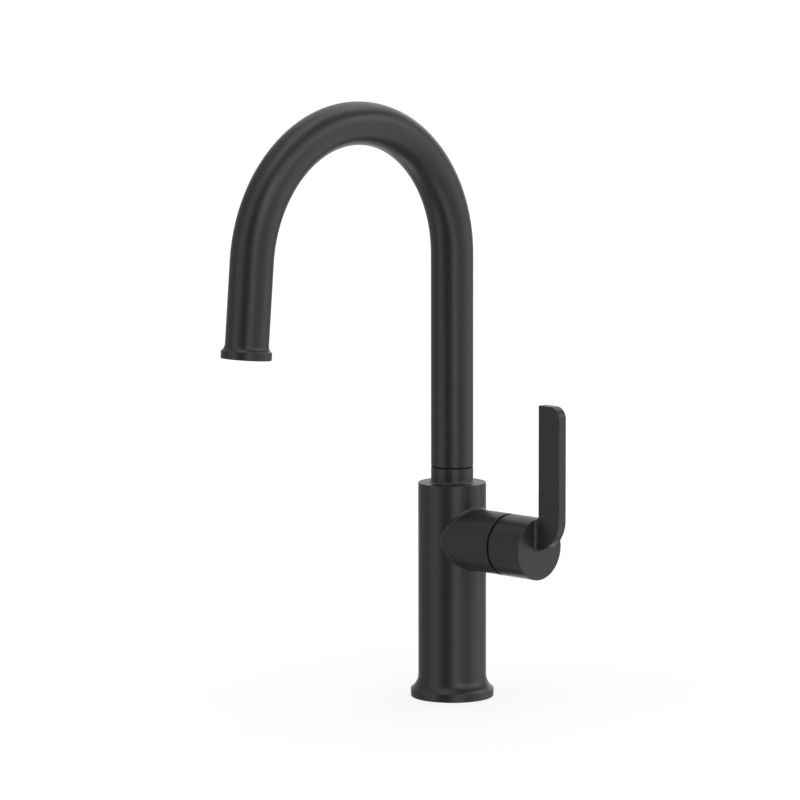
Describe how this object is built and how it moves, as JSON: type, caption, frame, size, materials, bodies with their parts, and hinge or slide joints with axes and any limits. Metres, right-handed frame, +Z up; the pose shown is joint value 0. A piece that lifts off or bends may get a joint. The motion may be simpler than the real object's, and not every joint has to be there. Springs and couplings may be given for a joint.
{
  "type": "water filter faucet",
  "caption": "Tall gooseneck drinking-water faucet for one deck hole, with a swivelling spout and a side lever that turns a quarter-turn ceramic valve.",
  "frame": {"origin": "centre of the foot on the plane of the deck, on the axis of the body, the spout's swivel and the shank socket", "axes": "+Z up, -Y along the spout towards the user, +X towards the lever"},
  "size_m": [0.1007, 0.1824, 0.3168],
  "materials": {
    "black_finish": "satin black plating on brass",
    "brass": "machined",
    "rubber": "matte",
    "black_plastic": "matte",
    "white_plastic": "satin",
    "ceramic": "lapped alumina",
    "steel": "stainless"
  },
  "bodies": {
    "faucet_body": {"valve_body": "black_finish", "deck_gasket": "rubber", "shank_seal": "rubber", "bonnet_ring": "black_plastic", "headwork_housing": "brass", "headwork_o_ring": "rubber", "seat_seal": "rubber", "fixed_disc": "ceramic", "stem_glide_washer": "white_plastic", "spout_grub_screw": "steel", "spout_glide_ring": "black_plastic"},
    "handle": {"lever_handle": "black_finish", "handle_grub_screw": "steel", "spline_insert": "white_plastic", "valve_stem": "brass", "moving_disc": "ceramic", "stem_o_rings": "rubber", "stem_circlip": "steel"},
    "spout": {"spout_tube": "black_finish", "spout_foot": "brass", "spout_o_rings": "rubber", "spout_guide_rings": "white_plastic", "outlet_collar": "black_finish", "aerator_housing": "white_plastic", "flow_straightener": "white_plastic", "aerator_screen": "steel", "aerator_seal": "rubber"}
  },
  "joints": [
    {"name": "handle_turn", "type": "hinge", "parent": "faucet_body", "child": "handle", "pos_m": [0, 0, 0.0851], "axis": [1, 0, 0], "range_deg": [0, 90]},
    {"name": "spout_swivel", "type": "hinge", "parent": "faucet_body", "child": "spout", "pos_m": [0, 0, 0], "axis": [0, 0, 1], "continuous": true}
  ]
}
